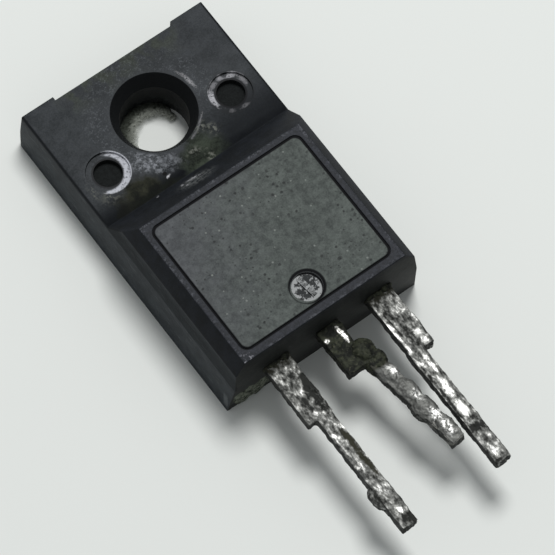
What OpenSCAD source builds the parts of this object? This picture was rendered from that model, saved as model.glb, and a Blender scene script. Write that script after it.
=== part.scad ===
/* [Body] */
// Width of the moulded body across its back face
body_w = 10.4; // [9.8:0.1:12]
// Length of the moulded body, from the tab's end to the lead end
body_l = 16.3; // [15.6:0.1:18]
// Thickness of the body at the raised block
body_t = 4.5; // [4.2:0.1:5.5]
// Thickness of the tab around the screw hole
tab_t = 2.6; // [2.4:0.1:3]
// From the hole's centre to the tab's end, at the front face
tab_end = 3.3; // [3.1:0.1:4]
// Draft of the two side walls, in degrees
side_draft = 5.1; // [1:0.1:7]
// Draft of the lead end's wall above and below the parting line, in degrees
end_draft = 5.5; // [1:0.1:7]
// Draft of the tab's end wall, in degrees
tab_draft = 2.5; // [0.5:0.1:5]
// Radius of the body's upright corners
corner_r = 0.4; // [0.1:0.05:0.6]

/* [Raised block] */
// From the hole's centre to the foot of the ramp
ramp_foot = 3.4; // [3.1:0.1:4]
// Length of the ramp along the body
ramp_run = 1.55; // [0.8:0.05:2]
// Width of the bevel along each side of the block
bevel_w = 0.52; // [0.2:0.02:0.8]
// Height of the bevel along each side of the block
bevel_h = 0.71; // [0.3:0.01:1]
// Width of the rim around the marking panel, to the groove's middle line
rim_w = 0.34; // [0.25:0.01:0.6]
// Width of the rim at the lead end
rim_end_w = 0.45; // [0.25:0.01:0.8]
// Width of the groove around the marking panel
groove_w = 0.1; // [0.06:0.01:0.2]
// Depth of that groove
groove_depth = 0.06; // [0.03:0.01:0.15]
// Corner radius of the panel
panel_r = 0.35; // [0.2:0.05:0.8]
// Diameter of the round cavity mark on the panel
mark_d = 1.5; // [1:0.1:2]
// Depth of the cavity mark
mark_depth = 0.12; // [0.05:0.01:0.3]
// From the cavity mark's centre to the groove at the lead end
mark_from_groove = 0.9; // [0.8:0.05:2]
// Turn of the bar in the cavity mark from the body's width, in degrees
mark_turn = 98; // [0:1:180]

/* [Screw hole and tab] */
// Bore of the screw hole
hole_d = 3.2; // [3:0.05:3.5]
// Diameter of the hole's cone at the front face
cone_d = 4; // [3.8:0.05:4.2]
// Depth of the cone below the front face
cone_depth = 0.72; // [0.4:0.01:0.9]
// Width of the shallow recess in the tab's end
recess_w = 6.5; // [5:0.1:7]
// Depth of that recess
recess_depth = 0.21; // [0.1:0.01:0.3]
// From the centre line to each pin mark on the tab
pin_x = 3.4; // [3.3:0.05:3.6]
// From the hole's centre to the pin marks, towards the leads
pin_y = 1.2; // [0.9:0.05:1.3]
// Diameter of each pin hole
pin_d = 1.36; // [1:0.02:1.6]
// Depth of each pin hole below the front face
pin_depth = 0.4; // [0.2:0.05:0.6]
// Diameter of the shallow ring around each pin hole
ring_d = 2.14; // [1.8:0.02:2.4]
// Depth of that ring below the front face
ring_depth = 0.12; // [0.05:0.01:0.18]

/* [Leads] */
// Thickness of the lead frame's leads
lead_t = 0.5; // [0.45:0.05:0.7]
// Height of the leads' middle plane above the back face
lead_z = 2.6; // [2.5:0.05:2.75]
// From the centre line to the left lead's middle
left_lead_x = 2.58; // [2.5:0.02:2.7]
// From the centre line to the right lead's middle
right_lead_x = 2.48; // [2.4:0.02:2.7]
// Width of the narrow part of each lead
lead_w = 0.66; // [0.6:0.02:0.9]
// From the centre line to the outer edge of the outer leads' wide parts
shoulder_x = 3.34; // [3.3:0.02:3.6]
// From the centre line to the inner edge of those wide parts
shoulder_in_x = 2.18; // [1.8:0.02:2.2]
// Length of the outer leads' wide parts outside the body
shoulder_l = 3.2; // [2.9:0.1:3.6]
// Length of the outer leads outside the body
outer_lead_l = 9.4; // [7:0.1:13]
// Half the width of the centre lead's wide part
centre_half_w = 0.52; // [0.46:0.02:0.7]
// Length of the centre lead's wide part outside the body
centre_shoulder_l = 2.35; // [2:0.05:3.5]
// Length of the centre lead outside the body, along the body
centre_lead_l = 7.55; // [6:0.05:12]
// Sideways place of the centre lead at its kink
kink_x = 0.7; // [0:0.05:0.7]
// Sideways lean of the centre lead beyond the kink, in degrees
lean = 8.5; // [0:0.5:9]

/* [Inside] */
// Moulding under the heat slug
slug_floor = 0.5; // [0.4:0.05:0.6]
// Thickness of the heat slug
slug_t = 1.1; // [0.9:0.05:1.2]
// Width of the heat slug
slug_w = 8.2; // [7.6:0.1:8.4]
// From the hole's centre to the slug's end in the tab
slug_end = 2.45; // [2.2:0.05:2.5]
// Length of the heat slug
slug_l = 12.6; // [11.5:0.1:12.8]
// Diameter of the slug's opening around the screw hole
slug_hole_d = 5; // [4.7:0.1:5.2]
// Side of the square die
die_w = 3.2; // [2:0.1:3.6]
// Thickness of the die
die_t = 0.22; // [0.15:0.01:0.3]
// From the slug's lead end to the die's centre
die_from_end = 2.85; // [2.8:0.05:3.2]
// Thickness of the solder under the die
attach_t = 0.06; // [0.03:0.01:0.1]
// How far that solder reaches past the die on each side
attach_lip = 0.2; // [0.05:0.05:0.4]
// Length of the bond posts inside the body
post_l = 1.3; // [1:0.1:1.4]
// Width of the bond posts
post_w = 2.1; // [1.7:0.1:2.3]
// Diameter of the control wire
thin_wire_d = 0.2; // [0.12:0.01:0.25]
// Diameter of the load wires
thick_wire_d = 0.38; // [0.3:0.01:0.42]
// Distance between the two load wires
wire_gap = 0.62; // [0.5:0.02:0.8]
// Rise of the wires' arches above the line between their feet
wire_rise = 0.72; // [0.5:0.02:0.8]

/* [Residue] */
// Thickness of the solder left on the leads
solder_t = 0.06; // [0.04:0.01:0.12]
// From the body to where the solder on the outer leads starts
solder_start = 0.35; // [0.2:0.05:1]
// Size of the frozen drop on the left lead
drop_r = 0.3; // [0.2:0.02:0.4]
// From the body to that drop, along the lead
drop_at = 7.4; // [6.5:0.05:7.8]
// Thickness of the flux crust above and below the centre lead
crust_t = 0.22; // [0.1:0.02:0.3]
// Radius of the crust's bulge beside the centre lead
bulge_r = 0.62; // [0.4:0.02:0.7]

/* [Hidden] */
$fn = 64;

// a cut passes its surface by this much
over = 0.5;
// the round corners stand this far outside the flat walls, which they cross at a plain angle
corner_out = 0.04;
mould_colour = [0.2, 0.21, 0.22];
copper_colour = [0.72, 0.45, 0.3];
tin_colour = [0.66, 0.66, 0.64];
die_colour = [0.3, 0.32, 0.36];
wire_colour = [0.8, 0.8, 0.8];
flux_colour = [0.16, 0.15, 0.1];

// the wall of the lead end at the parting line, and its two ends
end_y = tab_end - body_l;
end_top_y = end_y + (body_t - lead_z) * tan(end_draft);
end_back_y = end_y + lead_z * tan(end_draft);
tab_back_y = tab_end + tab_t * tan(tab_draft);

// half the body's width at a height, below the bevel
function half_w(z) = body_w / 2 - z * tan(side_draft);
bevel_z = body_t - bevel_h;
rim_x = half_w(bevel_z) - bevel_w;
block_top_y = -ramp_foot - ramp_run;

// the groove's middle line around the marking panel
panel_x = rim_x - rim_w;
panel_top = block_top_y - rim_w;
panel_end = end_top_y + rim_end_w;

lead_low = lead_z - lead_t / 2;
lead_high = lead_z + lead_t / 2;
slug_high = slug_floor + slug_t;
slug_low_y = slug_end - slug_l;
die_y = slug_low_y + die_from_end;
die_low = slug_high + attach_t;
die_high = die_low + die_t;
kink_y = end_y - centre_shoulder_l;
post_top_y = end_y + 0.5 + post_l;

// a box given by its two corners
module block(low, high) {
    translate(low)
        cube(high - low);
}

// a rectangle with round corners, given by its two corners
module round_rect(low, high, r) {
    translate([low[0] + r, low[1]])
        square([high[0] - low[0] - 2 * r, high[1] - low[1]]);
    translate([low[0], low[1] + r])
        square([high[0] - low[0], high[1] - low[1] - 2 * r]);
    for (x = [low[0] + r, high[0] - r], y = [low[1] + r, high[1] - r])
        translate([x, y])
            circle(r);
}

// the body's outside: the side profile, the length profile and the plan, crossed
module body_outside() {
    intersection() {
        translate([0, tab_back_y + over, 0])
            rotate([90, 0, 0])
                linear_extrude(tab_back_y - end_y + 2 * over)
                    polygon([[-body_w / 2, 0], [body_w / 2, 0], [half_w(bevel_z), bevel_z],
                        [rim_x, body_t], [-rim_x, body_t], [-half_w(bevel_z), bevel_z]]);
        translate([-body_w / 2 - over, 0, 0])
            rotate([90, 0, 90])
                linear_extrude(body_w + 2 * over)
                    polygon([[end_back_y, 0], [tab_back_y, 0], [tab_end, tab_t], [-ramp_foot, tab_t],
                        [block_top_y, body_t], [end_top_y, body_t], [end_y, lead_z]]);
        translate([0, 0, -over])
            linear_extrude(body_t + 2 * over)
                round_rect([-body_w / 2 - corner_out, end_y - corner_out],
                    [body_w / 2 + corner_out, tab_back_y + corner_out], corner_r + corner_out);
    }
}

// the screw hole, straight at the back and opening in a cone at the front
module screw_hole_cut() {
    translate([0, 0, -over])
        cylinder(h = tab_t + 2 * over, d = hole_d);
    slope = (cone_d - hole_d) / cone_depth;
    translate([0, 0, tab_t - cone_depth])
        cylinder(h = cone_depth + over, d1 = hole_d, d2 = cone_d + over * slope);
}

// the shallow recess across the tab's end, through its whole thickness
module recess_cut() {
    translate([0, 0, -over])
        linear_extrude(tab_t + 2 * over)
            polygon([[-recess_w / 2, tab_end - recess_depth], [recess_w / 2, tab_end - recess_depth],
                [recess_w / 2 + recess_depth, tab_back_y + over],
                [-recess_w / 2 - recess_depth, tab_back_y + over]]);
}

// one pin hole in the tab, with the shallow ring around it
module pin_cut(side) {
    translate([side * pin_x, -pin_y, tab_t - ring_depth])
        cylinder(h = ring_depth + over, d = ring_d);
    translate([side * pin_x, -pin_y, tab_t - pin_depth])
        cylinder(h = pin_depth + over, d = pin_d);
}

// the thin groove that frames the marking panel
module groove_cut() {
    g = groove_w / 2;
    translate([0, 0, body_t - groove_depth])
        linear_extrude(groove_depth + over)
            difference() {
                round_rect([-panel_x - g, panel_end - g], [panel_x + g, panel_top + g], panel_r + g);
                round_rect([-panel_x + g, panel_end + g], [panel_x - g, panel_top - g], panel_r - g);
            }
}

// the round cavity mark, with one plain bar left standing in it
module mark_cut() {
    bar_w = mark_d / 6;
    translate([0, panel_end + mark_from_groove, body_t - mark_depth])
        difference() {
            cylinder(h = mark_depth + over, d = mark_d);
            rotate([0, 0, mark_turn])
                translate([-mark_d / 3, -bar_w / 2, -over])
                    cube([mark_d * 2 / 3, bar_w, mark_depth * 2 / 3 + over]);
        }
}

// the moulded body closes on every piece that it holds
module body() {
    color(mould_colour)
        difference() {
            body_outside();
            screw_hole_cut();
            recess_cut();
            pin_cut(-1);
            pin_cut(1);
            groove_cut();
            mark_cut();
            slug_shape();
            outer_lead(-1, left_lead_x);
            outer_lead(1, right_lead_x);
            attach_shape();
            die_shape();
            thin_wire();
            thick_wires();
        }
}

// the thick slug, stepped up at its lead end into the centre lead
module slug_shape() {
    difference() {
        block([-slug_w / 2, slug_low_y, slug_floor], [slug_w / 2, slug_end, slug_high]);
        translate([0, 0, slug_floor - over])
            cylinder(h = slug_t + 2 * over, d = slug_hole_d);
    }
    step_y = slug_low_y + lead_t * 1.4;
    translate([-centre_half_w, 0, 0])
        rotate([90, 0, 90])
            linear_extrude(2 * centre_half_w)
                polygon([[kink_y, lead_low], [end_y + 0.9, lead_low], [slug_low_y, slug_high - lead_t],
                    [step_y, slug_high - lead_t], [step_y, slug_high], [slug_low_y + lead_t, slug_high],
                    [end_y + 0.9 + lead_t * 0.4, lead_high], [kink_y, lead_high]]);
    centre_tail();
}

// the narrow end of the centre lead, pushed sideways when the part was taken off its board
module centre_tail() {
    tail_l = (centre_lead_l - centre_shoulder_l) / cos(lean);
    translate([kink_x, kink_y, lead_low])
        rotate([0, 0, lean])
            translate([-lead_w / 2, -tail_l, 0])
                cube([lead_w, tail_l, lead_t]);
    translate([0, 0, lead_low])
        linear_extrude(lead_t)
            polygon([[centre_half_w - lead_w, kink_y + lead_w], [centre_half_w, kink_y + 1.6 * lead_w],
                [kink_x + lead_w / 2 * cos(lean), kink_y + lead_w / 2 * sin(lean)],
                [kink_x - lead_w / 2 * cos(lean), kink_y - lead_w / 2 * sin(lean)]]);
}

module heat_slug() {
    color(copper_colour)
        slug_shape();
}

// an outer lead: bond post inside, wide part at the body, narrow part beyond
module outer_lead(side, lead_x) {
    inner_x = min(side * shoulder_x, side * shoulder_in_x);
    outer_x = max(side * shoulder_x, side * shoulder_in_x);
    post_x = side * (shoulder_x + shoulder_in_x) / 2;
    block([side * lead_x - lead_w / 2, end_y - outer_lead_l, lead_low],
        [side * lead_x + lead_w / 2, end_y, lead_high]);
    block([inner_x, end_y - shoulder_l, lead_low], [outer_x, post_top_y - post_l / 2, lead_high]);
    block([post_x - post_w / 2, post_top_y - post_l, lead_low],
        [post_x + post_w / 2, post_top_y, lead_high]);
}

module left_lead() {
    color(tin_colour)
        outer_lead(-1, left_lead_x);
}

module right_lead() {
    color(tin_colour)
        outer_lead(1, right_lead_x);
}

module attach_shape() {
    reach = die_w / 2 + attach_lip;
    block([-reach, die_y - reach, slug_high], [reach, die_y + reach, die_low]);
}

module die_attach() {
    color(tin_colour)
        attach_shape();
}

module die_shape() {
    block([-die_w / 2, die_y - die_w / 2, die_low], [die_w / 2, die_y + die_w / 2, die_high]);
}

module die() {
    color(die_colour)
        die_shape();
}

// a round wire arched from one flat foot to another, in the upright plane through both
module bond_wire(from, to, d, rise) {
    run = norm([to[0] - from[0], to[1] - from[1]]);
    drop = to[2] - from[2];
    chord = norm([run, drop]);
    arc_r = (chord * chord / 4 + rise * rise) / (2 * rise);
    half = asin(chord / 2 / arc_r);
    turn = atan2(to[1] - from[1], to[0] - from[0]);
    foot_l = 1.6 * d;
    foot_w = 1.3 * d;
    translate(from)
        rotate([0, 0, turn]) {
            rotate([0, -atan2(drop, run), 0])
                translate([chord / 2, 0, rise - arc_r])
                    rotate([90, 0, 0])
                        rotate([0, 0, 90 - half])
                            rotate_extrude(angle = 2 * half)
                                translate([arc_r, 0])
                                    circle(d / 2, $fn = 24);
            translate([-foot_l / 2, -foot_w / 2, 0])
                cube([foot_l, foot_w, d / 2]);
            translate([run - foot_l / 2, -foot_w / 2, drop])
                cube([foot_l, foot_w, d / 2]);
        }
}

// the wires stand on the die and end on the tops of the two bond posts
module thin_wire() {
    intersection() {
        bond_wire([-die_w / 4, die_y - die_w / 4, die_high],
            [-(shoulder_x + shoulder_in_x) / 2, post_top_y - post_l / 2, lead_high],
            thin_wire_d, wire_rise);
        above_contacts();
    }
}

module thick_wires() {
    intersection() {
        for (side = [-1, 1])
            translate([side * wire_gap / 2, 0, 0])
                bond_wire([die_w / 5, die_y, die_high],
                    [(shoulder_x + shoulder_in_x) / 2, post_top_y - post_l / 2, lead_high],
                    thick_wire_d, wire_rise);
        above_contacts();
    }
}

// the room above the die's top and above the posts' tops, which cuts the wires' feet flat
module above_contacts() {
    block([-body_w / 2, die_y - die_w / 2, die_high], [body_w / 2, die_y + die_w / 2, body_t]);
    block([-body_w / 2, post_top_y, die_high + thin_wire_d / 4], [body_w / 2, die_y, body_t]);
    block([-body_w / 2, end_y, lead_high], [body_w / 2, post_top_y, body_t]);
}

module control_wire() {
    color(wire_colour)
        thin_wire();
}

module load_wires() {
    color(wire_colour)
        thick_wires();
}

// the solder left around an outer lead, as a sleeve over its wide and narrow parts
module outer_solder(side, lead_x) {
    inner_x = min(side * shoulder_x, side * shoulder_in_x);
    outer_x = max(side * shoulder_x, side * shoulder_in_x);
    skin = [solder_t, 0, solder_t];
    tip = [0, solder_t, 0];
    difference() {
        union() {
            block([inner_x, end_y - shoulder_l, lead_low] - skin - tip,
                [outer_x, end_y - solder_start, lead_high] + skin);
            block([side * lead_x - lead_w / 2, end_y - outer_lead_l, lead_low] - skin - tip,
                [side * lead_x + lead_w / 2, end_y - shoulder_l, lead_high] + skin);
            children();
        }
        outer_lead(side, lead_x);
    }
}

module left_lead_solder() {
    color(tin_colour)
        outer_solder(-1, left_lead_x)
            translate([-left_lead_x - lead_w / 2, end_y - drop_at, lead_z])
                sphere(drop_r);
}

module right_lead_solder() {
    color(tin_colour)
        outer_solder(1, right_lead_x);
}

// the solder around the centre lead's tail
module tail_solder_shape() {
    tail_l = (centre_lead_l - centre_shoulder_l) / cos(lean);
    start = lead_w;
    translate([kink_x, kink_y, lead_low - solder_t])
        rotate([0, 0, lean])
            translate([-lead_w / 2 - solder_t, -tail_l - solder_t, 0])
                cube([lead_w + 2 * solder_t, tail_l - start + solder_t, lead_t + 2 * solder_t]);
}

module centre_lead_solder() {
    color(tin_colour)
        difference() {
            tail_solder_shape();
            slug_shape();
        }
}

// burnt flux around the centre lead's wide part, bulging out beside its kink
module flux_crust() {
    color(flux_colour)
        difference() {
            union() {
                block([-centre_half_w - solder_t, kink_y - solder_t, lead_low - solder_t],
                    [centre_half_w + solder_t, end_y - solder_start, lead_high + solder_t]);
                translate([kink_x, kink_y + 0.55, lead_low - solder_t])
                    cylinder(h = lead_t + solder_t + crust_t, r = bulge_r);
                translate([kink_x + 0.42, kink_y - 0.05, lead_low])
                    cylinder(h = lead_t + crust_t / 2, r = bulge_r / 2);
            }
            slug_shape();
            tail_solder_shape();
        }
}

body();
heat_slug();
left_lead();
right_lead();
die_attach();
die();
control_wire();
load_wires();
left_lead_solder();
centre_lead_solder();
right_lead_solder();
flux_crust();
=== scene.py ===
import math

import bmesh
import bpy
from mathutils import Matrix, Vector


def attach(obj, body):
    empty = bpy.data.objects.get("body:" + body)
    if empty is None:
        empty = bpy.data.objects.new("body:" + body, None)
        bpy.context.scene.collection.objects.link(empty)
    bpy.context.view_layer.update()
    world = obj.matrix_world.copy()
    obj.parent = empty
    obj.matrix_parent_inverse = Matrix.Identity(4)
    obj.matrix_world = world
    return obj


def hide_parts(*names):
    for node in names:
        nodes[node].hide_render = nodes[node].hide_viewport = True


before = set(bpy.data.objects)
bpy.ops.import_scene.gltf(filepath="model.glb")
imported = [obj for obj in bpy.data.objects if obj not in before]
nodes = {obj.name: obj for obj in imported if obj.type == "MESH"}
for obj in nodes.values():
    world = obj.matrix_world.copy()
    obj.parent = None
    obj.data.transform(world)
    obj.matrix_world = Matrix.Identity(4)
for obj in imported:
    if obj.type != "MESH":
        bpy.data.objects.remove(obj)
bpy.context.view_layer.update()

# The photograph is a distant, enlarged view from the lead end and a little from the left,
# about 23 degrees off straight down, so the camera is far away with a long lens.
mm = 0.001
camera_place = Vector((-41.01, -60.84, 155.63)) * mm
camera_turn = [math.radians(a) for a in (23.10, -0.943, -36.337)]
bpy.ops.object.select_all(action="DESELECT")
bpy.ops.object.camera_add(location=camera_place, rotation=camera_turn)
camera = bpy.context.object
camera.name = "photo_camera"
camera.data.sensor_fit = "HORIZONTAL"
camera.data.sensor_width = 36
camera.data.lens = 244.9
camera.data.clip_start = 10 * mm
camera.data.clip_end = 2
bpy.context.scene.camera = camera

# The part lies on a plain pale sheet, matt and of one even colour. It is flat, level with the
# part's back face, and reaches far past the view on every side.
floor_size = 600
bpy.ops.mesh.primitive_plane_add(size=floor_size * mm, location=(0, 0, 0))
floor = bpy.context.object
floor.name = "floor"
floor_finish = bpy.data.materials.new("pale_floor")
floor_finish.use_nodes = True
floor_shader = floor_finish.node_tree.nodes["Principled BSDF"]
floor_shader.inputs["Base Color"].default_value = (0.757, 0.777, 0.75, 1)
floor_shader.inputs["Roughness"].default_value = 0.9
floor_shader.inputs["Specular IOR Level"].default_value = 0.1
floor.data.materials.append(floor_finish)

# The light is soft and plain: a round lamp high up, a little to the part's right and towards
# its tab, and a dimmer surround that is even on every side.
world = bpy.context.scene.world or bpy.data.worlds.new("surround")
bpy.context.scene.world = world
world.use_nodes = True
surround = world.node_tree.nodes["Background"]
surround.inputs["Color"].default_value = (0.95, 0.98, 1, 1)
surround.inputs["Strength"].default_value = 0.35
lamp_aim = Vector((-1, -15, 2)) * mm
lamp_way = Vector((0.29, 0.29, 1)).normalized()
lamp_distance, lamp_size = 300, 115
bpy.ops.object.light_add(type="AREA", location=lamp_aim + lamp_way * lamp_distance * mm)
lamp = bpy.context.object
lamp.name = "soft_lamp"
lamp.data.shape = "DISK"
lamp.data.size = lamp_size * mm
lamp.data.energy = 0.66
lamp.rotation_euler = (lamp_aim - lamp.location).to_track_quat("-Z", "Y").to_euler()

# The body is one piece of black filled epoxy, moulded around the lead frame: a thin tab with
# the screw hole, a ramp, and the raised block with its marking panel. Ejector pins of the mould
# left the two round marks on the tab, and a loose mould insert the round mark on the panel.


def pick(piece):
    bpy.ops.object.select_all(action="DESELECT")
    piece.select_set(True)
    bpy.context.view_layer.objects.active = piece


def settle(piece, name):
    """Name a piece and put its place, turn and scale into its mesh."""
    pick(piece)
    piece.name = piece.data.name = name
    bpy.ops.object.transform_apply(location=True, rotation=True, scale=True)
    return piece


def slab(name, low, high):
    """A block between two corners, given in mm."""
    bpy.ops.object.select_all(action="DESELECT")
    middle = [(a + b) / 2 * mm for a, b in zip(low, high)]
    bpy.ops.mesh.primitive_cube_add(size=1, location=middle)
    bpy.context.object.scale = [(b - a) * mm for a, b in zip(low, high)]
    return settle(bpy.context.object, name)


def bar(name, place, r_low, r_high, length, sides=96):
    """An upright round bar or cone standing on a place, in mm."""
    bpy.ops.object.select_all(action="DESELECT")
    middle = (place[0] * mm, place[1] * mm, (place[2] + length / 2) * mm)
    bpy.ops.mesh.primitive_cone_add(vertices=sides, radius1=r_low * mm, radius2=r_high * mm,
                                    depth=length * mm, location=middle)
    return settle(bpy.context.object, name)


def cut_plane(piece, point, normal, keep_all=False):
    """Bisect a piece with a plane through a point in mm, and close it on the inner side."""
    pick(piece)
    bpy.ops.object.mode_set(mode="EDIT")
    bpy.ops.mesh.select_all(action="SELECT")
    bpy.ops.mesh.bisect(plane_co=[c * mm for c in point], plane_no=normal, threshold=1e-7,
                        clear_outer=not keep_all, use_fill=not keep_all)
    bpy.ops.object.mode_set(mode="OBJECT")


def finish_with(piece, kind, **settings):
    """Add a modifier and apply it."""
    pick(piece)
    modifier = piece.modifiers.new(kind.lower(), kind)
    for setting, value in settings.items():
        setattr(modifier, setting, value)
    bpy.ops.object.modifier_apply(modifier=modifier.name)


def carve(piece, cutter, operation="DIFFERENCE"):
    finish_with(piece, "BOOLEAN", operation=operation, object=cutter, solver="EXACT")
    bpy.data.objects.remove(cutter, do_unlink=True)


def soften_edges(piece, width, steps, wanted):
    """Round the edges that wanted(edge_middle, edge_direction, face_angle) picks, in mm."""
    pick(piece)
    bpy.ops.object.mode_set(mode="EDIT")
    bpy.ops.mesh.select_mode(type="EDGE")
    bpy.ops.mesh.select_all(action="DESELECT")
    shape = bmesh.from_edit_mesh(piece.data)
    for edge in shape.edges:
        a, b = edge.verts[0].co / mm, edge.verts[1].co / mm
        angle = math.degrees(edge.calc_face_angle(0))
        edge.select_set(wanted((a + b) / 2, (b - a).normalized(), angle))
    bmesh.update_edit_mesh(piece.data)
    bpy.ops.mesh.bevel(offset=width * mm, segments=steps, affect="EDGES", clamp_overlap=True)
    bpy.ops.object.mode_set(mode="OBJECT")


def upright(middle, way, angle):
    return abs(way.z) > 0.9


def above_back(middle, way, angle):
    """Every fold but those around the flat back face."""
    return angle > 12 and middle.z > 0.05


# It starts as one slab whose tab end is pressed down, and each side is then trimmed to its draft.
body_w, body_l, body_t, tab_t = 10.4, 16.3, 4.5, 2.6
tab_end, ramp_foot, ramp_run = 3.3, 3.4, 1.55
side_draft, end_draft, tab_draft = (math.radians(a) for a in (5.1, 5.5, 2.5))
bevel_w, bevel_h = 0.52, 0.71
parting_z = 2.6
end_y = tab_end - body_l
tab_back_y = tab_end + tab_t * math.tan(tab_draft)
block_top_y = -ramp_foot - ramp_run
end_top_y = end_y + (body_t - parting_z) * math.tan(end_draft)
half_at_bevel = body_w / 2 - (body_t - bevel_h) * math.tan(side_draft)
rim_x = half_at_bevel - bevel_w

body = slab("moulded_body", (-body_w / 2, end_y, 0), (body_w / 2, tab_back_y, body_t))
for fold_y in (-ramp_foot, block_top_y):
    cut_plane(body, (0, fold_y, 0), (0, 1, 0), keep_all=True)
bpy.ops.object.mode_set(mode="EDIT")
bpy.ops.mesh.select_mode(type="VERT")
bpy.ops.mesh.select_all(action="DESELECT")
shape = bmesh.from_edit_mesh(body.data)
for vert in shape.verts:
    vert.select_set(vert.co.z > body_t * mm * 0.9 and vert.co.y > (block_top_y + 0.1) * mm)
bmesh.update_edit_mesh(body.data)
bpy.ops.transform.translate(value=(0, 0, (tab_t - body_t) * mm))
bpy.ops.object.mode_set(mode="OBJECT")
cut_plane(body, (0, tab_end, tab_t), (0, math.cos(tab_draft), math.sin(tab_draft)))
for half in (1, -1):
    cut_plane(body, (0, end_y, parting_z), (0, -math.cos(end_draft), half * math.sin(end_draft)))
for side in (-1, 1):
    cut_plane(body, (side * body_w / 2, 0, 0), (side * math.cos(side_draft), 0, math.sin(side_draft)))
    cut_plane(body, (side * rim_x, 0, body_t), (side * bevel_h, 0, bevel_w))
corner_r, corner_out, edge_r = 0.4, 0.04, 0.06
plan = slab("plan", (-body_w / 2 - corner_out, end_y - corner_out, -1),
            (body_w / 2 + corner_out, tab_back_y + corner_out, body_t + 1))
soften_edges(plan, corner_r + corner_out, 8, upright)
carve(body, plan, "INTERSECT")
soften_edges(body, edge_r, 3, above_back)

# The screw hole with its cone, the long recess in the tab's end and the two pin marks.
hole_r, cone_r, cone_depth, past = 1.6, 2.0, 0.72, 0.5
carve(body, bar("drill", (0, 0, -1), hole_r, hole_r, tab_t + 2))
slope = (cone_r - hole_r) / cone_depth
carve(body, bar("cone", (0, 0, tab_t - cone_depth), hole_r, cone_r + past * slope, cone_depth + past))
recess_w, recess_depth = 6.5, 0.21
carve(body, slab("recess", (-recess_w / 2, tab_end - recess_depth, -1),
                 (recess_w / 2, tab_end + 1, tab_t + 1)))
left_pin, right_pin = (-3.4, -1.2), (3.38, -1.2)
ring_r, ring_top_r, ring_depth = 1.0, 1.07, 0.12
pin_r, pin_top_r, pin_depth = 0.66, 0.68, 0.4
for pin in (left_pin, right_pin):
    carve(body, bar("ring", (*pin, tab_t - ring_depth), ring_r, ring_top_r, 0.5, 64))
    carve(body, bar("pin", (*pin, tab_t - pin_depth), pin_r, pin_top_r, 1, 64))

# The fine groove around the marking panel, and the round mark with its plain bar.
panel_gap, panel_end_gap = 0.34, 0.45
panel_x = rim_x - panel_gap
panel_top, panel_end = block_top_y - panel_gap, end_top_y + panel_end_gap
groove_w, groove_depth, panel_r = 0.1, 0.06, 0.35


def panel_plate(name, grow, low, high):
    """A plate with the panel's rounded outline, larger than it by grow on each side, in mm."""
    plate = slab(name, (-panel_x - grow, panel_end - grow, low),
                 (panel_x + grow, panel_top + grow, high))
    soften_edges(plate, panel_r + grow, 6, upright)
    return plate


groove = panel_plate("groove", groove_w / 2, body_t - groove_depth, body_t + 1)
carve(groove, panel_plate("island", -groove_w / 2, body_t - 1, body_t + 2))
carve(body, groove)
mark_r, mark_flare, mark_depth = 0.75, 0.05, 0.12
mark_y = panel_end + 0.9
rib_w, rib_turn = 0.25, 98
mark = bar("mark", (0, mark_y, body_t - mark_depth), mark_r - mark_flare, mark_r, 0.5, 48)
rib = slab("rib", (-mark_r * 2 / 3, -rib_w / 2, body_t - 1),
           (mark_r * 2 / 3, rib_w / 2, body_t - mark_depth / 3))
rib.rotation_euler.z = math.radians(rib_turn)
rib.location.y = mark_y * mm
settle(rib, "rib")
carve(mark, rib)
carve(body, mark)
pick(body)
bpy.ops.object.shade_smooth_by_angle(angle=math.radians(28))


class Tone:
    """A value or colour on its way through one material's nodes; sums of tones add Math nodes."""

    def __init__(self, tree, socket):
        self.tree, self.socket = tree, socket

    def node(self, kind, values, out=0, **settings):
        """Any other node, from its type, its settings and the values or links of its sockets."""
        made = self.tree.nodes.new("ShaderNode" + kind)
        for setting, value in settings.items():
            setattr(made, setting, value)
        for place, value in values.items():
            if isinstance(value, Tone):
                self.tree.links.new(value.socket, made.inputs[place])
            else:
                made.inputs[place].default_value = value
        return Tone(self.tree, made.outputs[out])

    def reckon(self, operation, *values):
        return self.node("Math", dict(enumerate(values)), operation=operation)

    def __add__(self, other): return self.reckon("ADD", self, other)
    def __radd__(self, other): return self.reckon("ADD", other, self)
    def __sub__(self, other): return self.reckon("SUBTRACT", self, other)
    def __rsub__(self, other): return self.reckon("SUBTRACT", other, self)
    def __mul__(self, other): return self.reckon("MULTIPLY", self, other)
    def __rmul__(self, other): return self.reckon("MULTIPLY", other, self)
    def __abs__(self): return self.reckon("ABSOLUTE", self)
    def root(self): return self.reckon("SQRT", self)
    def most(self, other): return self.reckon("MAXIMUM", self, other)

    def rise(self, low, high):
        """0 below low and 1 above high, with a soft step between."""
        return self.node("MapRange", {"Value": self, "From Min": low, "From Max": high},
                         interpolation_type="SMOOTHSTEP")

    def fall(self, low, high):
        return 1 - self.rise(low, high)

    def tint(self, under, over):
        """The colour under this mask where it is 0, and the one over it where it is 1."""
        under, over = (colour if isinstance(colour, Tone) else (*colour, 1) for colour in (under, over))
        return self.node("Mix", {0: self, 6: under, 7: over}, out=2, data_type="RGBA")


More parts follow.
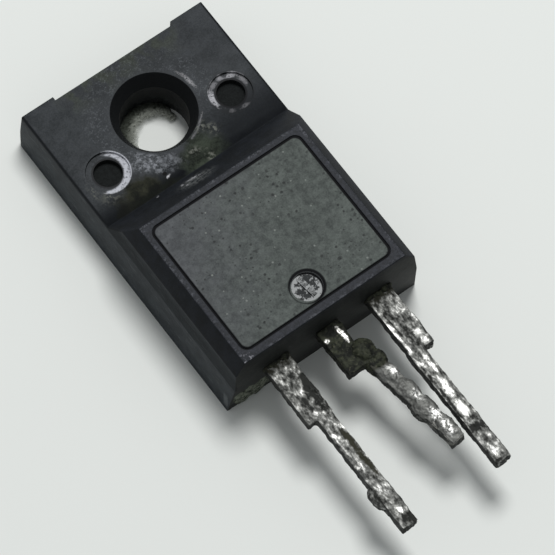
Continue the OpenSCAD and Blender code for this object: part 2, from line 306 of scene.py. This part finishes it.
class Finish:
    """One material, with its Object coordinates in mm."""

    def __init__(self, name):
        self.material = bpy.data.materials.new(name)
        self.material.use_nodes = True
        tree = self.material.node_tree
        self.shader = tree.nodes["Principled BSDF"]
        place = tree.nodes.new("ShaderNodeTexCoord")
        facing, here = (Tone(tree, place.outputs[out]) for out in ("Normal", "Object"))
        self.point = here.node("VectorMath", {0: here, 3: 1 / mm}, operation="SCALE")
        self.x, self.y, self.z = (self.point.node("SeparateXYZ", {0: self.point}, out=i)
                                  for i in range(3))
        self.side, self.front, self.up = (facing.node("SeparateXYZ", {0: facing}, out=i)
                                          for i in range(3))

    def grain(self, size, detail=2, rough=0.55, shift=0, stretch=1):
        """Cloudy noise about 0.5, with lumps of this size in mm, longer along the part by stretch."""
        at = self.point.node("Mapping", {"Vector": self.point, "Scale": (1, 1 / stretch, 1),
                                         "Location": (shift, shift * 0.7, shift * 0.3)})
        return at.node("TexNoise", {"Vector": at, "Scale": 1 / size, "Detail": detail,
                                    "Roughness": rough})

    def away(self, place, reach=(1, 1), turn=0):
        """Distance in plan from a place in mm, or in reaches of an oval that is turned about it."""
        at = self.point.node("Mapping", {
            "Vector": self.point, "Location": (*place, 0), "Rotation": (0, 0, math.radians(turn)),
            "Scale": (*reach, 1000)}, vector_type="TEXTURE")
        return at.node("VectorMath", {0: at}, out="Value", operation="LENGTH")

    def spot(self, place, reach, turn=0, edge=(0.6, 1.1), wobble=0):
        """1 in an oval about a place in plan, fading to 0 past it."""
        return (self.away(place, reach, turn) + wobble).fall(*edge)

    def pits(self, size, reach, share, shift=0, wobble=0):
        """1 in spots of this reach in mm, in a share of the cells of a random grid in plan."""
        at = self.point.node("Mapping", {"Vector": self.point, "Location": (shift, shift * 1.3, 0)})
        cell = {"Vector": at, "Scale": 1 / size}
        near = at.node("TexVoronoi", cell, voronoi_dimensions="2D") + wobble
        near = near.fall(reach / size * 0.5, reach / size)
        chance = at.node("TexVoronoi", cell, out="Color", voronoi_dimensions="2D")
        return near * chance.node("SeparateXYZ", {0: chance}).fall(share - 0.01, share)

    def feed(self, **sockets):
        """Link or set the shader's own sockets."""
        for name, value in sockets.items():
            socket = self.shader.inputs[name.replace("_", " ").title().replace("Ior", "IOR")]
            if isinstance(value, Tone):
                self.material.node_tree.links.new(value.socket, socket)
            else:
                socket.default_value = value

    def relief(self, height, depth):
        """Raise the surface by a height of 0 to 1, times a depth in mm."""
        bump = height.node("Bump", {"Height": height, "Distance": depth * mm, "Strength": 1})
        self.material.node_tree.links.new(bump.socket, self.shader.inputs["Normal"])


moulding = Finish("filled_epoxy")
x, y, z = moulding.x, moulding.y, moulding.z
fine = moulding.grain(0.07, 2, 0.6)
coarse = moulding.grain(0.17, 3, 0.6, 3)
blotch = moulding.grain(0.7, 3, 0.55, 7)
broad = moulding.grain(2.6, 2, 0.5, 11)
grit = fine * 0.5 + coarse * 0.5
mottle = grit.rise(0.36, 0.64)
speck = grit.rise(0.54, 0.6)
ragged = coarse - 0.5
uneven = 0.75 + blotch * 0.5
# The black used for painted shade in grooves and along edges.
painted_shade_black = (0.002, 0.002, 0.003)

# The panel is greyer than its rim; the walls are darker, and the bevels and the hole nearly black:
# these darker walls, bevels and hole are painted shade.
# The value outline is how far a point lies outside the panel's rounded corners and sides.
across = abs(x)
flat = moulding.up.rise(0.8, 0.97)
on_block = z.rise(4.3, 4.36) * flat
outline_r = 0.4
past_x = (across - panel_x + outline_r).most(0)
past_y = (abs(y - (panel_top + panel_end) / 2) - (panel_top - panel_end) / 2 + outline_r).most(0)
outline = (past_x * past_x + past_y * past_y).root() - outline_r
in_panel = outline.fall(-0.06, -0.02) * on_block
stipple = mottle * 0.5 + blotch.rise(0.36, 0.64) * 0.3 + broad.rise(0.38, 0.62) * 0.2
colour = stipple.tint((0.007, 0.010, 0.012), (0.038, 0.043, 0.048))
rim_tone = mottle.tint((0.009, 0.011, 0.014), (0.027, 0.030, 0.038))
colour = (on_block * (1 - in_panel)).tint(colour, rim_tone)
clouds = mottle * 0.42 + moulding.grain(0.34, 2, 0.6, 17).rise(0.36, 0.64) * 0.3
clouds = clouds + blotch.rise(0.34, 0.66) * 0.14 + broad.rise(0.38, 0.62) * 0.14
panel_tone = clouds.tint((0.022, 0.028, 0.026), (0.1, 0.116, 0.106))
lilac = (x * -0.16 + y * 0.1 + 0.9 + blotch * 0.6).rise(0.1, 1.3) * 0.7
panel_tone = lilac.tint(panel_tone, clouds.tint((0.036, 0.038, 0.045), (0.078, 0.08, 0.092)))
patchy = broad.rise(0.42, 0.56)
# Small dark pits on the panel: they are not cut, their shade is painted in.
for size, reach, share, shift, depth in ((0.42, 0.08, 0.3, 0, 0.85), (0.3, 0.045, 0.35, 4.7, 0.7),
                                         (0.9, 0.12, 0.2, 6.3, 0.7)):
    pit = moulding.pits(size, reach, share, shift, ragged * 0.3) * patchy * depth
    panel_tone = pit.tint(panel_tone, (0.008, 0.010, 0.010))
pale_specks = moulding.pits(0.5, 0.05, 0.16, 9.1, ragged * 0.2) * 0.8
panel_tone = pale_specks.tint(panel_tone, (0.19, 0.205, 0.19))
colour = in_panel.tint(colour, panel_tone)
# The fine groove round the panel is painted black: painted shade in the groove.
line = outline.rise(-0.11, -0.06) * outline.fall(0.03, 0.09) * on_block
colour = (line * uneven).tint(colour, painted_shade_black)

# The walls and bevels get a tone by the way they face, painted shade that is darkest on the end wall
# and the bevels; on the side walls a pale streak and fine scratches.
wall = moulding.up.fall(0.15, 0.4)
slanted = moulding.up.rise(0.15, 0.4) * moulding.up.fall(0.8, 0.95)
end_wall = moulding.front.fall(-0.8, -0.5)
stains = mottle * 0.4 + blotch.rise(0.34, 0.66) * 0.6
for facing, low, high in ((wall, (0.014, 0.018, 0.022), (0.034, 0.041, 0.047)),
                          (end_wall, (0.002, 0.003, 0.003), (0.013, 0.015, 0.013)),
                          (slanted, (0.001, 0.002, 0.003), (0.007, 0.009, 0.013))):
    colour = facing.tint(colour, stains.tint(low, high))
streak = moulding.spot((-5.12, -12.5), (0.4, 0.1), 60, wobble=ragged)
streak = streak * z.rise(0.2, 0.5) * z.fall(1.0, 1.4)
scratches = moulding.grain(0.12, 2, 0.5, 31, stretch=6).rise(0.6, 0.68) * 0.35
scratches = wall * (1 - end_wall) * (streak * 0.8).most(scratches)
colour = scratches.tint(colour, (0.1, 0.11, 0.115))

# Light worn flecks along the block's top edges, and more at the left corner of its lead end.
edge = (across - rim_x).rise(-0.2, -0.04).most((y - block_top_y).rise(-0.18, -0.04))
edge = edge.most((y - end_top_y).fall(0.04, 0.2)) * on_block
colour = (edge * (blotch * 0.5 + grit).rise(0.74, 0.9) * 0.5).tint(colour, (0.12, 0.125, 0.14))
corner = moulding.spot((-rim_x + 0.1, end_top_y + 0.1), (0.5, 0.4), wobble=ragged) * on_block
colour = (corner * speck).tint(colour, (0.22, 0.22, 0.24))

# Round cavity mark: its rough floor is pale in patches, part its own colour and part painted sheen, and
# its wall is painted light; a painted shadow line runs along its far side.
mark_away = moulding.away((0, mark_y))
in_mark = mark_away.fall(0.68, 0.73) * z.rise(4.3, 4.34)
shiny = moulding.grain(0.22, 3, 0.6, 21) * 0.7 + fine * 0.3 + (mark_away - 0.42).most(0) * 0.35
shiny = shiny.rise(0.5, 0.58).most(z.rise(4.43, 4.46) * 0.8 * mottle)
colour = in_mark.tint(colour, shiny.tint((0.014, 0.016, 0.017), (0.32, 0.33, 0.33)))
mark_far_shadow = moulding.away((-0.1, mark_y - 0.05)).rise(0.68, 0.73) * mark_away.fall(0.8, 0.88)
colour = (mark_far_shadow * on_block).tint(colour, painted_shade_black)

# The tab is darker along the ramp's foot and along its side edges, with olive flux in four patches and
# along the tab's end, and dust on it. The mask dark gathers all that is black, which is also less
# shiny.
on_tab = z.fall(2.7, 2.8) * flat
dark = y.fall(-3.4, -1.9).most(y.fall(-3.0, -0.4) * x.rise(0.4, 2.4) * 0.78)
dark = (dark * uneven * on_tab).most(0)
colour = dark.tint(colour, (0.0015, 0.0025, 0.004))
dark = dark.most(mark_far_shadow * on_block).most(line * 0.8)
brow = across.rise(4.83, 4.92) * z.rise(2.4, 2.5) * on_tab.most(0.5)
colour = (brow * (0.7 + blotch * 0.5)).tint(colour, (0.002, 0.003, 0.004))
dark = dark.most(brow)
end_tint = y.rise(1.5, 3.0) * across.fall(2.6, 3.6) * blotch.rise(0.42, 0.6) * on_tab
colour = (end_tint * 0.9).tint(colour, mottle.tint((0.012, 0.016, 0.010), (0.038, 0.046, 0.034)))
for place, reach, turn, low, high in (
        ((0.5, -2.9), (1.6, 1.15), 25, (0.003, 0.005, 0.003), (0.04, 0.05, 0.036)),
        ((-2.7, -2.8), (1.35, 0.85), 0, (0.003, 0.004, 0.002), (0.026, 0.027, 0.017)),
        ((-3.3, -3.3), (1.2, 0.5), 0, (0.001, 0.0015, 0.001), (0.008, 0.009, 0.006)),
        ((-1.8, -3.6), (2.0, 0.8), -6, (0.001, 0.0015, 0.001), (0.006, 0.008, 0.005))):
    patch = moulding.spot(place, reach, turn, edge=(0.55, 1.05), wobble=(blotch - 0.5) * 1.4) * on_tab
    colour = patch.tint(colour, (mottle * 0.35 + blotch.rise(0.42, 0.66) * 0.65).tint(low, high))
    dark = dark.most(patch * 0.8)
for place, reach, tone in (((1.15, -1.75), (0.55, 0.4), 0.15), ((1.65, -2.2), (0.35, 0.5), 0.13),
                           ((0.8, -3.2), (0.3, 0.6), 0.14), ((0.3, -2.6), (0.5, 0.3), 0.13),
                           ((-3.95, -2.25), (0.7, 0.5), 0.09), ((-4.5, -1.6), (0.25, 0.6), 0.1)):
    dust = moulding.spot(place, reach, edge=(0.2, 1.1), wobble=ragged)
    dust = dust * coarse.rise(0.46, 0.62) * on_tab
    colour = dust.tint(colour, (tone * 0.96, tone, tone * 0.86))

# A screw's washer rubbed the tab around the hole: a speckled scuff and worn, shiny arcs.
hole_away = moulding.away((0, 0))
rubbed = hole_away.rise(2.02, 2.2) * hole_away.fall(2.9, 3.4) * on_tab
scuff = moulding.spot((-1.5, -1.95), (1.45, 0.75), -37, edge=(0.4, 1.1), wobble=(blotch - 0.5) * 1.6)
scuff = scuff * rubbed
colour = (scuff * mottle).tint(colour, (0.085, 0.092, 0.1))
colour = (scuff * coarse.rise(0.48, 0.6) * blotch.rise(0.36, 0.56)).tint(colour, (0.2, 0.21, 0.23))
colour = (rubbed * 0.3 * speck * y.rise(-2, 0)).tint(colour, (0.12, 0.13, 0.14))
for place, turn, reach, tone in (
        ((2.18, 0.4), 98, (0.55, 0.12), 0.24), ((2.06, 0.85), 112, (0.35, 0.08), 0.14),
        ((1.4, -1.56), 41, (0.6, 0.06), 0.13), ((0.75, -1.98), 21, (0.35, 0.06), 0.11),
        ((-0.63, -3.88), -7, (0.42, 0.1), 0.32), ((-1.33, -2.94), 20, (0.16, 0.07), 0.45),
        ((-1.25, -3.88), 0, (0.1, 0.08), 0.3), ((-1.12, -4.1), 0, (0.09, 0.08), 0.3),
        ((-2.35, -3.55), 30, (0.12, 0.06), 0.2)):
    arc = moulding.spot(place, reach, turn, edge=(0.35, 1.1), wobble=ragged * 2.2)
    arc = arc * hole_away.rise(2.0, 2.06) * z.rise(2.5, 2.58) * grit.rise(0.38, 0.52)
    colour = arc.tint(colour, (tone, tone, tone * 1.05))
chip = moulding.spot((-1.39, -2.74), (0.13, 0.1)) * on_tab
colour = chip.tint(colour, (0.001, 0.001, 0.001))
smear = moulding.spot((-0.6, -4.1), (1.2, 0.5), edge=(0.3, 1.1), wobble=ragged)
smear = smear * coarse.rise(0.42, 0.58) * z.rise(2.62, 2.7) * slanted
colour = smear.tint(colour, (0.085, 0.09, 0.09))

# The rings around the pin marks catch the light where they are worn; the pin holes are dull.
for pin, worn in ((left_pin, 0.045), (right_pin, 0.012)):
    pin_away = moulding.away(pin)
    ring = pin_away.fall(1.08, 1.14) * z.rise(2.3, 2.36) * on_tab
    colour = (ring * mottle * 0.6).tint(colour, (worn * 0.9, worn, worn * 1.1))
    pin_hole = pin_away.fall(0.68, 0.72) * z.fall(2.36, 2.42)
    colour = pin_hole.tint(colour, mottle.tint((0.002, 0.003, 0.003), (0.008, 0.010, 0.010)))
    dark = dark.most(pin_hole * 0.8)
    # The ring's step wall is painted dark: painted shade.
    lip = pin_away.rise(0.95, 1.0) * pin_away.fall(1.1, 1.14) * z.rise(2.3, 2.4) * (1 - flat)
    colour = lip.tint(colour, (0.006, 0.007, 0.008))
    dark = dark.most(lip)
    # A painted shadow line along the pin hole's edge.
    rim_line = pin_away.rise(0.6, 0.66) * pin_away.fall(0.72, 0.78)
    colour = (rim_line * z.rise(2.1, 2.2) * flat * 0.8).tint(colour, painted_shade_black)
crescent = moulding.away((-3.53, -1.12)).rise(0.82, 0.92) * moulding.away(left_pin).fall(1.03, 1.09)
lower_left = ((x + 3.4) * 0.86 - (y + 1.2) * 0.52 + ragged * 0.4).rise(-0.3, 0.05)
crescent = crescent * lower_left * z.rise(2.4, 2.46)
colour = (crescent * (0.3 + grit.rise(0.36, 0.52) * 0.7)).tint(colour, (0.46, 0.47, 0.51))
right_away = moulding.away(right_pin)
bright_ring = right_away.rise(0.74, 0.8) * right_away.fall(1.02, 1.08) * z.rise(2.4, 2.46)
for place, reach, tone in (((2.58, -0.95), (0.3, 0.55), 0.4), ((2.95, -0.42), (0.3, 0.2), 0.16),
                           ((3.4, -0.3), (0.22, 0.16), 0.24), ((3.88, -0.47), (0.4, 0.2), 0.3),
                           ((4.2, -0.95), (0.2, 0.4), 0.16), ((3.55, -2.08), (0.3, 0.12), 0.1),
                           ((2.9, -1.95), (0.2, 0.15), 0.08)):
    arc = moulding.spot(place, reach, edge=(0.3, 1.1), wobble=ragged * 2.2)
    arc = arc * bright_ring * grit.rise(0.34, 0.5)
    colour = arc.tint(colour, (tone, tone, tone * 1.06))

# The hole is painted nearly black as shade, and lighter low down on its wall, part dust and part
# painted light from the floor.
in_hole = hole_away.fall(1.97, 2.03)
hole_tone = z.fall(0.1, 1.3).tint((0.003, 0.004, 0.005), (0.06, 0.066, 0.066))
colour = in_hole.tint(colour, mottle.tint((0.002, 0.003, 0.0035), hole_tone))

moulding.feed(base_color=colour, roughness=0.58 + coarse * 0.14 + dark * 0.3, specular_ior_level=0.25)
moulding.relief(fine * 0.5 + coarse + scuff * grit * 2, 0.012)
body.data.materials.append(moulding.material)
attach(body, "root")
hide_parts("body")

# Solder left on the three leads when the part was pulled off its board: a torn and crinkled
# skin of tin over each lead, thicker in drops, frozen where it was cut or wiped.


def lump(name, place, size, turn=0):
    """An egg-shaped lump, in mm, turned about the upright in degrees."""
    bpy.ops.object.select_all(action="DESELECT")
    bpy.ops.mesh.primitive_uv_sphere_add(segments=32, ring_count=16, radius=mm,
                                         location=[c * mm for c in place])
    bpy.context.object.scale = size
    bpy.context.object.rotation_euler.z = math.radians(turn)
    return settle(bpy.context.object, name)


def melt(pieces, name, grid, rounds, waves, stretch=1):
    """Fuse overlapping lumps into one skin, and wrinkle it with waves of (size, depth) in mm."""
    bpy.ops.object.select_all(action="DESELECT")
    for piece in pieces:
        piece.select_set(True)
    bpy.context.view_layer.objects.active = pieces[0]
    if len(pieces) > 1:
        bpy.ops.object.join()
    skin = bpy.context.object
    skin.scale = (1 / mm, 1 / mm, 1 / mm)
    settle(skin, name)
    finish_with(skin, "REMESH", mode="VOXEL", voxel_size=grid)
    finish_with(skin, "SMOOTH", factor=0.5, iterations=rounds)
    skin.scale.y = 1 / stretch
    settle(skin, name)
    for size, depth in waves:
        wave = bpy.data.textures.new(name + "_wave", "CLOUDS")
        wave.noise_scale = size
        finish_with(skin, "DISPLACE", texture=wave, texture_coords="LOCAL", strength=depth,
                    mid_level=0.5)
    skin.scale = (mm, mm * stretch, mm)
    settle(skin, name)
    bpy.ops.object.shade_smooth()
    return skin


skin_t, into_wall = 0.06, 0.03
skin_low, skin_high = 2.35 - skin_t, 2.85 + skin_t
shoulder_in, shoulder_out = 2.18 - skin_t, 3.34 + skin_t
shoulder_l, lead_l, skin_half = 3.26, 9.46, 0.39


def outer_skin(name, side, lead_x, drops):
    """Solder on an outer lead, with its wide shoulder; side is -1 for left and 1 for right."""
    left_x, right_x = sorted((side * shoulder_in, side * shoulder_out))
    shoulder = slab("shoulder", (left_x, end_y - shoulder_l, skin_low),
                    (right_x, end_y + into_wall, skin_high))
    narrow = slab("narrow", (side * lead_x - skin_half, end_y - lead_l, skin_low),
                  (side * lead_x + skin_half, end_y - 3, skin_high))
    return melt([shoulder, narrow] + [lump("drop", *drop) for drop in drops], name,
                grid=0.035, rounds=2, waves=((0.5, 0.1), (0.16, 0.09)), stretch=1.8)


left_solder = outer_skin("left_solder_skin", -1, 2.58, [((-2.9, -20.65, 2.6), (0.38, 0.66, 0.3), 8)])
right_solder = outer_skin("right_solder_skin", 1, 2.48, [])

# The centre lead's tail leans towards the right lead, with the solder in four bellies along it.
tail_turn, tail_left, tail_right, tail_short = 8.5, 0.34, 0.38, 0.2
tail_start, tail_tip = Vector((0.7, end_y - 2.35, 0)), Vector((1.48, end_y - 7.56, 0))
tail_middle = (tail_start + tail_tip) / 2
tail_l = (tail_tip - tail_start).length
tail = slab("tail", (-tail_left, -tail_l / 2, skin_low),
            (tail_right, tail_l / 2 - tail_short, skin_high))
tail.location = (tail_middle.x * mm, tail_middle.y * mm, 0)
tail.rotation_euler.z = math.radians(tail_turn)
settle(tail, "tail")
bellies = (((0.88, -16.3, 2.66), (0.5, 0.65, 0.4), 10), ((1.06, -17.4, 2.64), (0.5, 0.85, 0.42), 10),
           ((1.18, -18.5, 2.66), (0.58, 0.68, 0.43), 8), ((1.4, -19.7, 2.64), (0.46, 0.88, 0.4), 8))
centre_solder = melt([tail] + [lump("belly", *belly) for belly in bellies], "centre_solder_skin",
                     grid=0.035, rounds=2, waves=((0.7, 0.16), (0.25, 0.14), (0.1, 0.05)))

# Torn tin is bright where it broke and dull where a film of flux is on it; its folds and steep sides
# are painted black as shade.
# The value level says how bright a place is: lumps and streaks, and a list of single places.
tin = Finish("torn_solder")
x, y = tin.x, tin.y
lumps = tin.grain(0.34, 3, 0.6, 2, stretch=1.5)
streaks = tin.grain(0.15, 3, 0.62, 9, stretch=1.8)
level = lumps * 0.6 + streaks * 0.6 - 0.1
ragged = lumps - 0.5
for place, reach, turn, gain in (
        ((-3.12, -14.5), (0.32, 1.6), 0, 0.03), ((-2.74, -14.9), (0.12, 0.9), 0, 0.06),
        ((-2.28, -15.1), (0.32, 1.5), 0, -0.2), ((-2.9, -15.6), (0.1, 0.6), 0, -0.12),
        ((-2.86, -17.1), (0.12, 0.9), 0, 0.09), ((-2.72, -18.8), (0.12, 1.1), 4, 0.1),
        ((-2.38, -18.2), (0.2, 1.6), 0, -0.2), ((-2.92, -18.0), (0.08, 1.2), 0, -0.1),
        ((-2.75, -20.2), (0.2, 0.45), 0, 0.1), ((-3.0, -20.5), (0.2, 0.5), 0, -0.05),
        ((-2.5, -20.9), (0.2, 0.4), 0, -0.05), ((-2.6, -21.6), (0.12, 0.4), 20, 0.12),
        ((-2.4, -22.1), (0.4, 0.35), 0, -0.14), ((2.2, -15.1), (0.1, 1.5), 3, 0.16),
        ((2.36, -14.8), (0.07, 1.0), 3, -0.12), ((2.95, -14.4), (0.35, 0.8), 0, 0.06),
        ((3.15, -15.8), (0.22, 0.45), 0, 0.12), ((2.7, -15.4), (0.2, 0.6), 0, -0.06),
        ((2.62, -16.9), (0.14, 0.9), 0, 0.15), ((2.5, -18.3), (0.24, 0.75), 0, 0.2),
        ((2.48, -19.5), (0.26, 0.5), 0, 0.2), ((2.5, -20.5), (0.35, 0.3), 0, -0.2),
        ((2.45, -21.4), (0.3, 0.25), 0, -0.05), ((2.42, -21.95), (0.2, 0.35), 0, 0.2),
        ((2.2, -18.6), (0.09, 2.2), 0, -0.15), ((2.3, -22.35), (0.3, 0.1), 0, -0.2),
        ((-2.85, -14.6), (0.5, 1.5), 0, -0.05), ((2.8, -14.7), (0.6, 1.3), 0, -0.05),
        ((-2.6, -18.5), (0.4, 2.2), 0, -0.02)):
    level = level + tin.spot(place, reach, turn, edge=(0.3, 1.1), wobble=ragged) * gain
# The centre lead's tail is painted dull grey as shade, instead of bright tin.
on_tail = x.rise(0.2, 0.4) * x.fall(2.05, 2.1) * y.fall(-15.6, -15.3)
on_tail = on_tail * (x - 0.15 * (-14.6 - y)).fall(1.2, 1.3)
near_body = y.rise(-13.6, -13.15)
level = level - near_body * 0.1
bright = level.rise(0.49, 0.76) * (1 - on_tail)
# Four bright places along the tail are painted highlights.
for place, reach, gain in (((1.05, -16.35), (0.3, 0.45), 1), ((1.25, -17.9), (0.32, 0.5), 0.9),
                           ((1.36, -19.0), (0.3, 0.45), 1), ((1.45, -19.9), (0.28, 0.65), 1)):
    gleam = tin.spot(place, reach, 8, edge=(0.3, 1), wobble=ragged * 2) * streaks.rise(0.38, 0.52)
    bright = bright.most(gleam * gain)
film = level.rise(0.35, 0.54).most(on_tail * (0.55 + lumps.rise(0.35, 0.6) * 0.6))
burnt = x.rise(0.1, 0.3) * x.fall(1.9, 2.0) * y.rise(-16.15, -15.8)
film = film * (1 - burnt * 0.9)
bright = bright * (1 - burnt)
olive = (near_body * 0.8).most(tin.spot((-2.35, -18.6), (0.25, 1.8))).most(burnt)
colour = film.tint(olive.tint((0.008, 0.009, 0.007), (0.018, 0.018, 0.008)), (0.19, 0.193, 0.182))
colour = bright.tint(colour, (0.82, 0.82, 0.79))
# The steep sides and folds are painted near black as shade, those turned to the right less so, and lose
# most of their metal.
flank = tin.up.fall(0.3, 0.75) * (1 - tin.side.rise(-0.1, 0.5) * 0.6)
colour = (flank * 0.92).tint(colour, (0.008, 0.009, 0.008))
tin.feed(base_color=colour, metallic=(film * 0.85 + bright * 0.15) * (1 - flank * 0.8),
         roughness=0.6 - bright * 0.22 + streaks * 0.1, specular_ior_level=0.25)
tin.relief(lumps * 0.6 + streaks * 0.4, 0.06)
for skin, node in ((left_solder, "left_lead_solder"), (right_solder, "right_lead_solder"),
                   (centre_solder, "centre_lead_solder")):
    skin.data.materials.append(tin.material)
    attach(skin, "root")
    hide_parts(node)

# Burnt flux around the centre lead's wide part: rosin that boiled out of the solder, ran against
# the body's end wall and set hard in lumps. In two places the tin under it shows.
cover_half, cover_l, cover_low, cover_high = 0.58, 2.41, 2.27, 2.92
crust = melt([slab("cover", (-cover_half, end_y - cover_l, cover_low),
                   (cover_half, end_y + into_wall, cover_high)),
              lump("bulge", (0.62, -14.8, 2.66), (0.6, 0.66, 0.44)),
              lump("bulge", (0.98, -15.45, 2.62), (0.36, 0.5, 0.36)),
              lump("kink", (0.72, -15.7, 2.62), (0.46, 0.5, 0.38), 20),
              lump("kink", (0.52, -15.55, 2.6), (0.3, 0.35, 0.34))],
             "burnt_flux_crust", grid=0.03, rounds=3, waves=((0.35, 0.12), (0.12, 0.06)))
flux = Finish("burnt_flux")
lumps = flux.grain(0.4, 3, 0.6, 5)
specks = flux.grain(0.12, 2, 0.6, 8)
colour = (lumps * 0.9 + specks * 0.3).rise(0.5, 0.75).tint((0.002, 0.003, 0.001), (0.03, 0.034, 0.02))
colour = (specks.rise(0.6, 0.7) * 0.5).tint(colour, (0.09, 0.088, 0.06))
tin_shows = flux.spot((0.33, -13.7), (0.12, 0.5), 4, edge=(0.4, 1.05), wobble=(specks - 0.5) * 1.6)
beside = flux.spot((-0.42, -13.55), (0.14, 0.14), edge=(0.4, 1.05), wobble=specks - 0.5)
tin_shows = tin_shows.most(beside) * flux.y.fall(-13.15, -13.05)
colour = tin_shows.tint(colour, (0.75, 0.74, 0.7))
# Its steep sides are painted near black as shade.
flank = flux.up.fall(0.1, 0.45)
colour = (flank * 0.75).tint(colour, (0.006, 0.006, 0.004))
flux.feed(base_color=colour, metallic=tin_shows * 0.8, roughness=0.7 - tin_shows * 0.4,
          specular_ior_level=0.25)
flux.relief(lumps * 0.7 + specks * 0.3, 0.08)
crust.data.materials.append(flux.material)
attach(crust, "root")
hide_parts("flux_crust")

# More of it ran along the lead end's wall to the roots of the outer leads. Below it a dusty,
# olive grey deposit dried on the wall, and the same deposit lies in the bottom of the hole.
bead_waves = ((0.25, 0.1), (0.1, 0.05))
left_root = melt([lump("bead", (-2.9, end_y, 2.76), (0.6, 0.18, 0.22), 3),
                  lump("bead", (-2.35, end_y, 2.86), (0.3, 0.2, 0.22))],
                 "left_root_flux", grid=0.025, rounds=2, waves=bead_waves)
right_root = melt([lump("bead", (2.6, end_y, 2.78), (0.6, 0.2, 0.22), -3),
                   lump("bead", (3.2, end_y, 2.86), (0.32, 0.2, 0.22))],
                  "right_root_flux", grid=0.025, rounds=2, waves=bead_waves)
patches = []
for at_x, at_z, half_w, half_h in (
        (-4.6, 1.3, 0.4, 0.7), (-4.1, 1.2, 0.5, 0.8), (-3.5, 1.2, 0.45, 0.6),
        (-4.4, 0.6, 0.45, 0.55), (-3.7, 0.6, 0.5, 0.5), (-3.0, 0.9, 0.35, 0.4)):
    wall_y = end_y + into_wall + (parting_z - at_z) * math.tan(end_draft)
    patches.append(lump("patch", (at_x, wall_y, at_z), (half_w, 0.11, half_h)))
wall_flux = melt(patches, "wall_deposit", grid=0.03, rounds=2, waves=((0.3, 0.14), (0.12, 0.06)))
crumb_away, crumb_flat = 1.18, 0.36
crumbs = []
for step, size in enumerate((0.2, 0.28, 0.34, 0.38, 0.4, 0.42, 0.42, 0.4, 0.36, 0.28, 0.2)):
    turn, wide = math.radians(18 + 16 * step), size * 1.3
    place = (crumb_away * math.cos(turn), crumb_away * math.sin(turn), 0.06 + wide * crumb_flat)
    crumbs.append(lump("crumb", place, (wide, wide, wide * crumb_flat)))
hole_flux = melt(crumbs, "hole_deposit", grid=0.025, rounds=2, waves=((0.22, 0.08), (0.1, 0.05)))
dusty = Finish("dusty_flux")
lumps = dusty.grain(0.35, 3, 0.6, 12)
specks = dusty.grain(0.1, 2, 0.6, 15)
in_hole = dusty.y.rise(-2, -1)
colour = (lumps * 0.6 + specks * 0.6).rise(0.45, 0.75).tint((0.014, 0.017, 0.012), (0.15, 0.165, 0.13))
# In the hole the deposit is pale in the middle, fading out, and darker towards the wall: grime and
# painted shade from the wall.
inwards = dusty.away((0.1, -0.1))
hole_tone = inwards.rise(0.9, 1.5).tint((0.42, 0.44, 0.39), (0.05, 0.056, 0.046))
gaps = (specks * 0.6 + lumps * 0.5 + inwards * 0.14 - 0.18).rise(0.52, 0.72)
hole_tone = gaps.tint(hole_tone, (0.024, 0.027, 0.021))
thin = (inwards + (lumps - 0.5) * 0.6).fall(0.78, 1.42)
dusty.feed(base_color=in_hole.tint(colour, hole_tone), alpha=1 - in_hole * thin, roughness=0.9,
           specular_ior_level=0.2)
dusty.relief(lumps * 0.6 + specks * 0.4, 0.05)
for piece, finish in ((left_root, flux), (right_root, flux), (wall_flux, dusty), (hole_flux, dusty)):
    piece.data.materials.append(finish.material)
    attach(piece, "root")

# The outer leads are stamped from copper strip, and the moulding grips their inner ends. They
# are bare only at their cut tips, where they are dull tin over copper.
strip = Finish("tinned_strip")
tone = (strip.grain(0.2, 3, 0.6, 4, stretch=3) * 0.8 + strip.y.rise(-14, -12) * 0.2).rise(0.4, 0.6)
strip.feed(base_color=tone.tint((0.03, 0.03, 0.026), (0.3, 0.3, 0.28)), metallic=0.8, roughness=0.5)
strip.relief(strip.grain(0.15, 3, 0.6, 6, stretch=2), 0.01)
for name in ("left_lead", "right_lead"):
    nodes[name].data.materials.clear()
    nodes[name].data.materials.append(strip.material)

# Inside the moulding: a copper slug whose tail is the centre lead, tinned and dark outside, and
# on it the silicon die, its solder layer and the drawn aluminium wires.
copper = Finish("rolled_copper")
outside = copper.y.fall(-12.9, -12.8)
tone = copper.grain(0.3, 3, 0.6, 4, stretch=3).rise(0.38, 0.62)
bare = tone.tint((0.4, 0.2, 0.12), (0.62, 0.33, 0.22))
copper.feed(base_color=outside.tint(bare, tone.tint((0.02, 0.02, 0.016), (0.12, 0.12, 0.11))),
            metallic=1 - outside * 0.3, roughness=0.38 + tone * 0.15)
layer = Finish("solder_layer")
tone = layer.grain(0.15, 3, 0.6).rise(0.35, 0.65)
layer.feed(base_color=tone.tint((0.35, 0.35, 0.34), (0.6, 0.6, 0.58)), metallic=1.0, roughness=0.4)
silicon = Finish("silicon_with_metal_top")
top = silicon.up.rise(0.8, 0.9)
tone = silicon.grain(0.3, 2, 0.5).rise(0.3, 0.7)
silicon.feed(base_color=top.tint((0.06, 0.065, 0.08), tone.tint((0.5, 0.5, 0.5), (0.65, 0.65, 0.66))),
             metallic=top, roughness=0.3)
drawn = Finish("drawn_aluminium")
tone = drawn.grain(0.1, 2, 0.5, stretch=4).rise(0.3, 0.7)
drawn.feed(base_color=tone.tint((0.6, 0.6, 0.61), (0.8, 0.8, 0.81)), metallic=1.0, roughness=0.35)
for name, finish in (("heat_slug", copper), ("die_attach", layer), ("die", silicon),
                     ("control_wire", drawn), ("load_wires", drawn)):
    nodes[name].data.materials.clear()
    nodes[name].data.materials.append(finish.material)

bpy.context.scene.view_settings.view_transform = "Standard"
